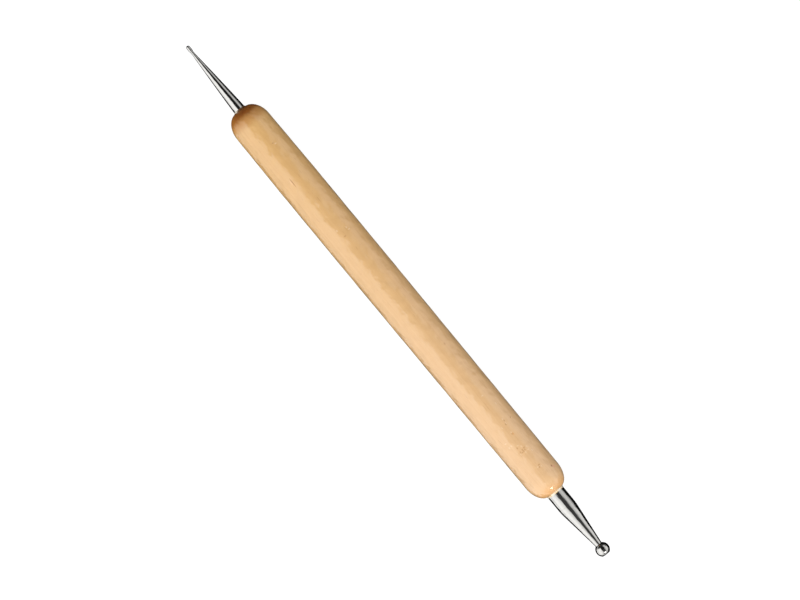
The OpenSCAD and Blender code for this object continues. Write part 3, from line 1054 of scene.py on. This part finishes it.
def make_world():
    """Brightness = studio(atan2(y, z)), blended to each end's light where the direction is along X."""
    world = bpy.data.worlds.new("studio")
    bpy.context.scene.world = world
    tree = empty_tree(world)
    x, y, z = add(tree, "SeparateXYZ", {0: add(tree, "TexCoord", {}).outputs["Generated"]}).outputs[:3]
    turn = maths(tree, "MULTIPLY_ADD", maths(tree, "ARCTAN2", y, z), 0.5 / math.pi, 0.5)
    to_fine = ramp(tree, x, *TURNS_TO_FINE)
    light = mixed(tree, to_fine, angle_bands(tree, turn, STUDIO), angle_bands(tree, turn, STUDIO_AT_FINE))
    for start, end, brightness in END_LIGHTS:
        light = mixed(tree, ramp(tree, x, start, end), light, neutral(brightness))
    studio = add(tree, "Background", {"Color": light, "Strength": WORLD_STRENGTH}).outputs[0]
    white = add(tree, "Background", {"Color": neutral(1), "Strength": 1.0}).outputs[0]
    ray = add(tree, "LightPath", {}).outputs
    either = add(tree, "MixShader", {0: ray["Is Camera Ray"], 1: studio, 2: white}).outputs[0]
    add(tree, "OutputWorld", {"Surface": either})
    print(f"studio: {len(STUDIO)} bands, {len(STUDIO_AT_FINE)} at the fine end")


make_world()

# %% [markdown]
# One small lamp stands beyond the ball end, low over the table. It makes the white spot near the ball's
# pole and the highlight on the handle's shoulder. A Track To constraint could turn it, but where it
# stands and looks is plain geometry, which serves the fill and the camera as well.

# %% The small lamp beyond the ball end
LAMP_DISTANCE, LAMP_RADIUS, LAMP_RADIANCE = 0.5, 0.055, 13.0
LAMP_FROM_UP, LAMP_TURN = math.radians(66), math.radians(3)
# The middle of the tool, on its axis, in metres
MIDDLE = np.array([0, 0, AXIS_HEIGHT / METRE])


def aim(lamp_or_camera, place, target, up):
    """Stands it at a place, looking at a target, with a given direction upwards in its picture."""
    back = np.array(place) - np.array(target)
    back = back / np.linalg.norm(back)
    right = np.cross(up, back)
    right = right / np.linalg.norm(right)
    columns = np.stack([right, np.cross(back, right), back, place], axis=1)
    lamp_or_camera.matrix_world = Matrix([*columns.tolist(), [0, 0, 0, 1]])


def make_end_lamp():
    """A round area lamp. Its power is radiance times pi times its area."""
    light = bpy.data.lights.new("end_lamp", "AREA")
    light.shape = "DISK"
    light.size = 2 * LAMP_RADIUS
    light.energy = LAMP_RADIANCE * math.pi * math.pi * LAMP_RADIUS ** 2
    lamp = bpy.data.objects.new("end_lamp", light)
    bpy.context.scene.collection.objects.link(lamp)
    level = math.sin(LAMP_FROM_UP)
    direction = np.array([level * math.cos(LAMP_TURN), level * math.sin(LAMP_TURN), math.cos(LAMP_FROM_UP)])
    aim(lamp, MIDDLE + LAMP_DISTANCE * direction, MIDDLE, (0, 0, 1))
    lamp.visible_camera = False
    print(f"end lamp: {light.energy:.2f} W")


make_end_lamp()

# %% [markdown]
# A wide soft lamp overhead fills the side that faces away from the big softbox. The steel would show it as
# a bright band where the photograph has a dark one, so glossy rays don't see it. A brighter world would
# fill that side too, and wash out the shape of the handle.

# %% The soft fill from above
FILL_DISTANCE, FILL_SIZE, FILL_LIGHT = 1.2, 0.5, 0.225
FILL_TURN, FILL_TILT = math.radians(32), math.radians(20)


def make_fill():
    """A square area lamp whose power, by the inverse square, gives a white surface the wanted light."""
    light = bpy.data.lights.new("fill", "AREA")
    light.size = FILL_SIZE
    light.energy = FILL_LIGHT * math.pi ** 2 * FILL_DISTANCE ** 2
    lamp = bpy.data.objects.new("fill", light)
    bpy.context.scene.collection.objects.link(lamp)
    across = math.cos(FILL_TILT)
    direction = np.array([math.sin(FILL_TILT), across * math.sin(FILL_TURN), across * math.cos(FILL_TURN)])
    aim(lamp, MIDDLE + FILL_DISTANCE * direction, MIDDLE, (1, 0, 0))
    lamp.visible_camera = False
    lamp.visible_glossy = False
    print(f"fill: {light.energy:.2f} W")


make_fill()

# %% [markdown]
# ## The camera
# The photograph looks almost straight down. The mouths of the two sockets are very flat ellipses, and
# their bulge says that the camera leans three degrees towards the fine end. The tool runs down to the
# right at 50.4 degrees, and its middle lies a few pixels left of the picture's centre. The same view
# could be found by hand through the viewport, but numbers from the photograph get there at once.

# %% The camera
PICTURE_WIDTH, PICTURE_HEIGHT = 800, 600
PIXEL = 0.0001969
MIDDLE_PIXEL = (396.62, 300.06)
CAMERA_DISTANCE, CAMERA_LEAN = 1.5, math.radians(3)
TOOL_DOWN_RIGHT = math.radians(50.44)
SENSOR = 36.0


def make_camera():
    """Leans from straight up, rolls so that the tool lies at its angle, and aims beside its middle."""
    back = np.array([-math.sin(CAMERA_LEAN), 0, math.cos(CAMERA_LEAN)])
    along_tool = np.array([math.cos(CAMERA_LEAN), 0, math.sin(CAMERA_LEAN)])
    across_tool = np.array([0, 1, 0])
    right = math.cos(TOOL_DOWN_RIGHT) * along_tool + math.sin(TOOL_DOWN_RIGHT) * across_tool
    up = -math.sin(TOOL_DOWN_RIGHT) * along_tool + math.cos(TOOL_DOWN_RIGHT) * across_tool
    to_centre = ((PICTURE_WIDTH - 1) / 2 - MIDDLE_PIXEL[0], MIDDLE_PIXEL[1] - (PICTURE_HEIGHT - 1) / 2)
    target = MIDDLE + PIXEL * (to_centre[0] * right + to_centre[1] * up)
    camera_data = bpy.data.cameras.new("camera")
    camera_data.sensor_width = SENSOR
    camera_data.lens = SENSOR * CAMERA_DISTANCE / (PIXEL * PICTURE_WIDTH)
    camera = bpy.data.objects.new("camera", camera_data)
    bpy.context.scene.collection.objects.link(camera)
    aim(camera, target + CAMERA_DISTANCE * back, target, up)
    print(f"camera: {camera_data.lens:.1f} mm lens, {CAMERA_DISTANCE:.2f} m away")
    return camera


bpy.context.scene.camera = make_camera()
bpy.context.scene.view_settings.view_transform = "Standard"

# %% [markdown]
# ## Check the size and finish
# The looks never change the object's size. The box of the imported model and the box of what is shown now
# are compared, and the largest change between them is printed.

# %% Compare both boxes, and finish
dressed_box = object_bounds()
growth = np.abs(np.array(dressed_box) - np.array(cad_box)).max()
print(f"largest change of the box: {METRE * growth:.3f} mm")
